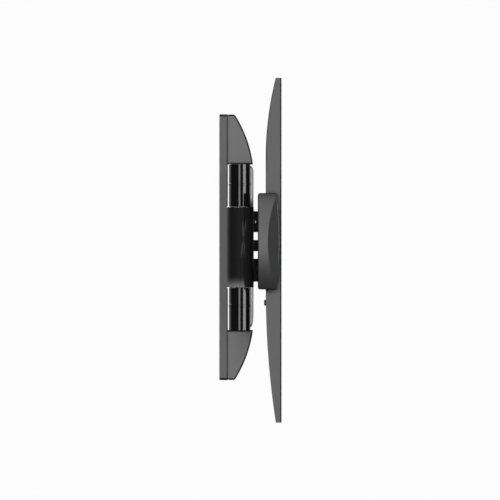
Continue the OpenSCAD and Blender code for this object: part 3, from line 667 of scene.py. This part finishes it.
def finish_rails():
    """Rounds each rail, with edges on its screen face and on its bowed upper end painted darker as shade."""
    for node in ("rail_left", "rail_right"):
        face = span(node, 1)[1]
        low, high = span(node, 0)
        bent = lambda x, depth, z: near(depth, face) and (near(x, low) or near(x, high))
        holes = lambda x, depth, z: near(depth, face) and low + 4 * MM < x < high - 4 * MM
        rise = span(node, 2)[1] - 130 * MM
        bow = lambda x, depth, z: depth < face - 5 * MM and z > rise and (near(x, low) or near(x, high))
        softened(node, ((1.6 * MM, 4, bent, "groove"), (0.9 * MM, 3, bow, "groove"),
                        (0.4 * MM, 2, holes), (0.25 * MM, 1, anywhere)))


finish_rails()


# ---------------------------------------------------------------- shroud

LIP_HEIGHT = 13.5 * MM       # how far up from its foot the lip draws in
LIP_PULL = 1.0 * MM          # how far it draws in at the foot
LIP_CORE = 15.3 * MM         # points nearer than this to the barrel's axis stay in place


def finish_shroud():
    """Rounds both halves, and draws the rear half's lower edge in along a soft curve."""
    foot = span("shroud_rear", 2)[0]

    def lip(work):
        slice_at(work, [(0, 0, foot + k * 1.5 * MM) for k in range(1, 9)], (0, 0, 1))
        mid = middle("link_barrel", 0)
        slice_at(work, [(mid + k * 8 * MM, 0, 0) for k in range(-1, 5)], (1, 0, 0))
        deep = (span("shroud_rear", 1)[0] + span("shroud_front", 1)[1]) / 2
        for vert in work.verts:
            rise = vert.co.z - foot
            share = min(1, max(0, (mid + 32 * MM - vert.co.x) / (24 * MM)))
            if rise < LIP_HEIGHT and share > 0:
                pull = LIP_PULL * share * (1 - rise / LIP_HEIGHT) ** 2
                away = Vector((min(0, vert.co.x - mid), vert.co.y + deep, 0))
                if away.length > LIP_CORE:
                    vert.co -= away.normalized() * pull

    softened("shroud_rear", ((0.6 * MM, 3, anywhere),), lip, REAR_SHROUD)
    softened("shroud_front", ((0.6 * MM, 3, anywhere),))


finish_shroud()


# ---------------------------------------------------------------- repeated details, made by Geometry Nodes

class Recipe(Nodes):
    """A Geometry Nodes tree: named inputs, nodes and the mesh it leaves."""

    prefix = ""

    def __init__(self, name, **inputs):
        super().__init__(bpy.data.node_groups.new(name, "GeometryNodeTree"))
        self.tree.interface.new_socket("Geometry", in_out="OUTPUT", socket_type="NodeSocketGeometry")
        for key, kind in inputs.items():
            self.tree.interface.new_socket(key, in_out="INPUT", socket_type="NodeSocket" + kind)
        self.given = self.tree.nodes.new("NodeGroupInput")
        self.out = self.tree.nodes.new("NodeGroupOutput")

    def input(self, name):
        return Value(self.tree, self.given.outputs[name])

    def finish(self, geometry):
        real = self.make("GeometryNodeRealizeInstances", Geometry=geometry)
        made = self.make("GeometryNodeSetMaterial", Geometry=real, Material=self.input("Material"))
        join(self.tree, self.out.inputs[0], made)

    def run(self, name, slot, body, mesh=None, **values):
        """Runs the tree once and keeps its result as a plain piece."""
        seed = bpy.data.objects.new(name + " seed", mesh or bpy.data.meshes.new(name + " seed"))
        bpy.context.scene.collection.objects.link(seed)
        step = seed.modifiers.new("recipe", "NODES")
        step.node_group = self.tree
        values["Material"] = FINISHES[slot]
        for item in self.tree.interface.items_tree:
            if item.in_out == "INPUT" and item.name in values:
                step[item.identifier] = values[item.name]
        graph = bpy.context.evaluated_depsgraph_get()
        graph.update()
        result = bpy.data.meshes.new_from_object(seed.evaluated_get(graph))
        bpy.data.objects.remove(seed)
        return piece(name, result, slot, body)


def thread_recipe():
    """A screw thread: one ridge that winds along Z, then turned and moved to its place."""
    cut = Recipe("thread", Radius="Float", Pitch="Float", Length="Float", Depth="Float",
                 Place="Vector", Turn="Vector", Material="Material")
    radius, pitch, length = cut.input("Radius"), cut.input("Pitch"), cut.input("Length")
    turns = cut.make("ShaderNodeMath", {"operation": "DIVIDE"}, _0=length, _1=pitch)
    path = cut.make("GeometryNodeCurveSpiral", Resolution=24, Rotations=turns, Start_Radius=radius,
                    End_Radius=radius, Height=length)
    ridge = cut.make("GeometryNodeCurvePrimitiveCircle", {"mode": "RADIUS"}, Resolution=3,
                     Radius=cut.input("Depth"))
    solid = cut.make("GeometryNodeCurveToMesh", Curve=path, Profile_Curve=ridge, Fill_Caps=True)
    placed = cut.make("GeometryNodeTransform", Geometry=solid, Translation=cut.input("Place"),
                      Rotation=cut.input("Turn"))
    cut.finish(placed)
    return cut


def weld_recipe():
    """A weld: overlapping scales, laid evenly along the seed mesh's edges."""
    bead = Recipe("weld", Seam="Geometry", Size="Float", Spacing="Float", Seed="Int", Material="Material")
    path = bead.make("GeometryNodeMeshToCurve", Mesh=bead.input("Seam"))
    spots = bead.make("GeometryNodeCurveToPoints", {"mode": "LENGTH"}, Curve=path,
                      Length=bead.input("Spacing"))
    scale = bead.make("GeometryNodeMeshIcoSphere", Radius=bead.input("Size"), Subdivisions=2)
    size = bead.make("FunctionNodeRandomValue", {"data_type": "FLOAT"}, output=1, _2=0.85, _3=1.12,
                     Seed=bead.input("Seed"))
    laid = bead.make("GeometryNodeInstanceOnPoints", Points=spots, Instance=scale, Scale=size)
    bead.finish(laid)
    return bead


def knurl_recipe():
    """Teeth round a screw head, whose axis is Z."""
    teeth = Recipe("knurl", Count="Int", Radius="Float", Height="Float", Tooth="Float", Place="Vector",
                   Material="Material")
    ring = teeth.make("GeometryNodeMeshCircle", Vertices=teeth.input("Count"), Radius=teeth.input("Radius"))
    tooth = teeth.make("GeometryNodeMeshCylinder", Vertices=8, Radius=teeth.input("Tooth"),
                       Depth=teeth.input("Height"))
    laid = teeth.make("GeometryNodeInstanceOnPoints", Points=ring, Instance=tooth)
    placed = teeth.make("GeometryNodeTransform", Geometry=laid, Translation=teeth.input("Place"))
    teeth.finish(placed)
    return teeth


def seam_mesh(name, lines):
    """The straight seams that a weld follows, each a line of (x, depth, z) points."""
    work = bmesh.new()
    for line in lines:
        spots = [work.verts.new((x, -depth, z)) for x, depth, z in line]
        for first, second in zip(spots, spots[1:]):
            work.edges.new((first, second))
    mesh = bpy.data.meshes.new(name)
    work.to_mesh(mesh)
    work.free()
    return mesh


EAR_HALF = 11 * MM           # half the length of the weld at each wall ear
WELD_INSET = 4 * MM          # the arms' welds stop this far from the arms' corners


def weld_all():
    """Welds the arms to the sleeve and the barrels, the tubes to their bracket, and the ears to the plate."""
    weld = weld_recipe()
    pivot_x, pivot_d = middle("wall_sleeve", 0), middle("wall_sleeve", 1)
    sleeve_r = (span("wall_sleeve", 1)[1] - span("wall_sleeve", 1)[0]) / 2
    elbow_x, elbow_d = middle("elbow_barrel_upper", 0), middle("elbow_barrel_upper", 1)
    barrel_r = (span("elbow_barrel_upper", 1)[1] - span("elbow_barrel_upper", 1)[0]) / 2 - 0.5 * MM
    near_d, far_d = span("rear_arm_upper", 1)
    seams = []
    for node in ("rear_arm_upper", "rear_arm_lower"):
        foot, top = span(node, 2)
        for depth in (near_d, far_d):
            reach = math.sqrt(sleeve_r ** 2 - (depth - pivot_d) ** 2)
            seams.append([(pivot_x - reach, depth, z) for z in (foot + WELD_INSET, top - WELD_INSET)])
            reach = math.sqrt(barrel_r ** 2 - (depth - elbow_d) ** 2)
            seams.append([(elbow_x + reach, depth, z) for z in (foot + WELD_INSET, top - WELD_INSET)])
    weld.run("rear_link_welds", "arm_steel", "rear_link", seam_mesh("rear link seams", seams),
             Size=1.3 * MM, Spacing=1.3 * MM, Seed=3)

    left, right = span("crossbar_bracket", 0)
    face = span("crossbar_bracket", 1)[1]
    seams = []
    for node, side in (("crossbar_tube_upper", -1), ("crossbar_tube_lower", 1)):
        radius = (span(node, 2)[1] - span(node, 2)[0]) / 2
        rise = math.sqrt(radius ** 2 - (middle(node, 1) - face) ** 2)
        height = middle(node, 2) + side * rise
        seams.append([(left + 3 * MM, face, height), (right - 3 * MM, face, height)])
    weld.run("crossbar_welds", "arm_steel", "crossbar", seam_mesh("crossbar seams", seams),
             Size=1.4 * MM, Spacing=1.4 * MM, Seed=5)

    inner, outer = span("wall_ear_upper", 2)
    left, right = middle("wall_ear_upper", 0) - EAR_HALF, middle("wall_ear_upper", 0) + EAR_HALF
    sheet = span("wall_ear_upper", 1)[0]
    seams = [[(left, sheet, side * height), (right, sheet, side * height)]
             for side in (-1, 1) for height in (inner, outer)]
    weld.run("wall_ear_welds", "plate_steel", "wall_side", seam_mesh("wall ear seams", seams),
             Size=1.2 * MM, Spacing=1.2 * MM, Seed=7)


PIN_THREAD = dict(Radius=6 * MM, Pitch=1.0 * MM, Length=1.8 * MM, Depth=0.22 * MM)
LOCK_THREAD = dict(Radius=2.5 * MM, Pitch=0.8 * MM, Length=4 * MM, Depth=0.2 * MM)
KNURL = dict(Count=16, Radius=3.55 * MM, Height=1.9 * MM, Tooth=0.42 * MM)


def thread_all():
    thread = thread_recipe()
    foot = span("wall_pin", 2)[0]
    thread.run("wall_pin_thread", "zinc_steel", "wall_side", Turn=(0, 0, 0), **PIN_THREAD,
               Place=(middle("wall_pin", 0), -middle("wall_pin_nut", 1), foot + 0.1 * MM))
    for side in ("left", "right"):
        node = "lock_screw_" + side
        tip = span(node, 1)[1] - 4.2 * MM
        thread.run(node + "_thread", "black_steel", "rail_" + side, Turn=(math.pi / 2, 0, 0), **LOCK_THREAD,
                   Place=(middle(node, 0), -tip, middle(node, 2)))


def knurl_all():
    knurl = knurl_recipe()
    foot = span("cap_screws", 2)[0]
    head = span("cap_screws", 0)[1] - 3.75 * MM
    for side, name in ((-1, "cap_screw_knurl_left"), (1, "cap_screw_knurl_right")):
        knurl.run(name, "black_steel", "crossbar", **KNURL,
                  Place=(side * head, -middle("cap_screws", 1), foot + 1.3 * MM))


weld_all()
thread_all()
knurl_all()


# ---------------------------------------------------------------- bolts and nuts

CORNER = 0.985               # a point this far out, as a share of the radius, is a corner
CORNER_CUT = 0.16            # how much of it goes, also as a share


def corner_cut(node, radius, ends, axis):
    """A hexagon head or nut with its corners cut at its free faces, as a lathe leaves them."""
    work = merged(node)
    middles = [middle(node, k) for k in range(3)]
    across = [k for k in range(3) if k != axis]

    def from_axis(co):
        spot = (co.x, -co.y, co.z)
        return math.hypot(*(spot[k] - middles[k] for k in across)), spot[axis]

    corners = []
    for vert in work.verts:
        away, place = from_axis(vert.co)
        if away > radius * CORNER and any(near(place, end, 0.1 * MM) for end in ends):
            corners.append(vert)
    if corners:
        bmesh.ops.bevel(work, geom=corners, offset=radius * CORNER_CUT, offset_type="OFFSET", segments=1,
                        profile=0.5, affect="VERTICES", clamp_overlap=True)
    round_edges(work, 0.25 * MM, 2, anywhere)
    mesh = from_bmesh(node + " cut", work)
    return piece(node + "_finished", mesh, SLOT_OF[node], BODY_OF[node], [node])


# each bolt or nut, its hexagon's corner radius in millimetres, and its axis
for node_name, hexagon, axis_index in (
        ("wall_pin", 10.4, 2), ("wall_pin_nut", 10.4, 2), ("head_pin", 10.4, 2), ("head_pin_nut", 10.4, 2),
        ("clamp_bolt", 5.8, 0), ("clamp_nut", 5.8, 0), ("tilt_bolt", 7.5, 0), ("tilt_nut", 7.5, 0),
        ("level_bolt", 7.5, 1), ("level_nut", 7.5, 1), ("lock_nut_left", 4.6, 1), ("lock_nut_right", 4.6, 1)):
    corner_cut(node_name, hexagon * MM, span(node_name, axis_index), axis_index)
for node_name in ("shroud_screws", "cap_screws", "lock_screw_left", "lock_screw_right", "elbow_pin"):
    softened(node_name, ((0.3 * MM, 2, anywhere),))


# ---------------------------------------------------------------- camera, light and floor

LENS, SENSOR = 1400, 36       # millimetres
FIELD = 625 * MM              # width that the camera takes in
FIELD_AT = 25 * MM            # and how far inside the mount's near end it is that wide
AIM_SHIFT = 0.4 * MM          # the aim's depth, from the middle of the mount
AIM_HEIGHT = -3.5 * MM


def side_camera():
    scene = bpy.context.scene
    scene.view_settings.view_transform = "Standard"
    aim = Vector((0, (cad_low.y + cad_high.y) / 2 + AIM_SHIFT, AIM_HEIGHT))
    reach = FIELD / 2 / (SENSOR / 2 / LENS)
    near_face = cad_low.x + FIELD_AT
    data = bpy.data.cameras.new("side camera")
    data.lens, data.sensor_width = LENS, SENSOR
    data.clip_end = 2 * reach
    camera = bpy.data.objects.new("side camera", data)
    camera.location = Vector((near_face - reach, aim.y, aim.z))
    camera.rotation_euler = Vector((1, 0, 0)).to_track_quat("-Z", "Y").to_euler()
    scene.collection.objects.link(camera)
    scene.camera = camera


def studio_world():
    """A pale backdrop for the camera, a dim room for the paint and a darker one for what shines."""
    world = bpy.data.worlds.new("studio")
    bpy.context.scene.world = world
    world.use_nodes = True
    studio = Nodes(world.node_tree)
    out = next(n for n in studio.tree.nodes if n.type == "OUTPUT_WORLD")
    studio.tree.nodes.remove(next(n for n in studio.tree.nodes if n.type == "BACKGROUND"))
    white = (1, 1, 1, 1)
    room = studio.make("Background", Color=white, Strength=0.22)
    mirrored = studio.make("Background", Color=white, Strength=0.03)
    sheet = studio.make("Background", Color=(0.975, 0.975, 0.975, 1))
    lit = studio.make("MixShader", _0=studio.make("LightPath", output="Is Glossy Ray"), _1=room, _2=mirrored)
    seen = studio.make("MixShader", _0=studio.make("LightPath", output="Is Camera Ray"), _1=lit, _2=sheet)
    join(studio.tree, out.inputs["Surface"], seen)


def softbox(name, bearing, rise, width, height, radiance, diffuse=True, gloss=True, distance=3.0):
    """A soft light that stands round the mount.

    Bearing 0 is on the camera's side and 90 in front of the screen. One that isn't diffuse only
    shows in what shines, and one without gloss only lights the paint."""
    a, e = math.radians(bearing), math.radians(rise)
    away = Vector((-math.cos(a) * math.cos(e), -math.sin(a) * math.cos(e), math.sin(e)))
    data = bpy.data.lights.new(name, "AREA")
    data.shape = "RECTANGLE"
    data.size, data.size_y = width, height
    data.energy = radiance * math.pi * width * height
    lamp = bpy.data.objects.new(name, data)
    lamp.location = away * distance
    lamp.rotation_euler = (-away).to_track_quat("-Z", "Y").to_euler()
    lamp.visible_camera = False
    lamp.visible_diffuse, lamp.visible_glossy = diffuse, gloss
    bpy.context.scene.collection.objects.link(lamp)


side_camera()
studio_world()
softbox("main softbox", -9, 5, 1.0, 1.2, 14.6, gloss=False)
softbox("middle card", -1, 0, 0.8, 3.4, 2.6, diffuse=False)
softbox("screen-side card", 51, 0, 1.6, 3.4, 3.5, diffuse=False)
softbox("wall-side card", -128, 0, 2.4, 3.4, 0.4, diffuse=False)
softbox("rear card", 112, 0, 0.5, 3.4, 3.0, diffuse=False)
softbox("far softbox", 135, 25, 2.2, 2.2, 3.0, gloss=False)
softbox("far card", 140, 10, 2.2, 2.2, 0.35, diffuse=False)
softbox("back softbox", 215, 25, 2.2, 2.2, 4.2)
softbox("top softbox", 180, 70, 2.2, 2.2, 2.0)


def floor():
    """A pale sheet well below the mount, which glows a little so that it stays pale from every side."""
    side, height = 12.0, cad_low.z - 200 * MM
    work = bmesh.new()
    bmesh.ops.create_grid(work, x_segments=1, y_segments=1, size=side / 2)
    bmesh.ops.translate(work, verts=work.verts, vec=(0, 0, height))
    mesh = bpy.data.meshes.new("floor")
    work.to_mesh(mesh)
    work.free()
    ground = Finish("pale floor", Roughness=0.8, Specular_IOR_Level=0.0,
                    Emission_Color=(0.8, 0.8, 0.8, 1), Emission_Strength=0.7)
    ground.feed(Base_Color=ground.mix(ground.noise(0.4), (0.29, 0.29, 0.29, 1), (0.31, 0.31, 0.31, 1)))
    mesh.materials.append(ground.material)
    made = bpy.data.objects.new("floor", mesh)
    made.visible_diffuse = made.visible_glossy = False
    bpy.context.scene.collection.objects.link(made)


floor()
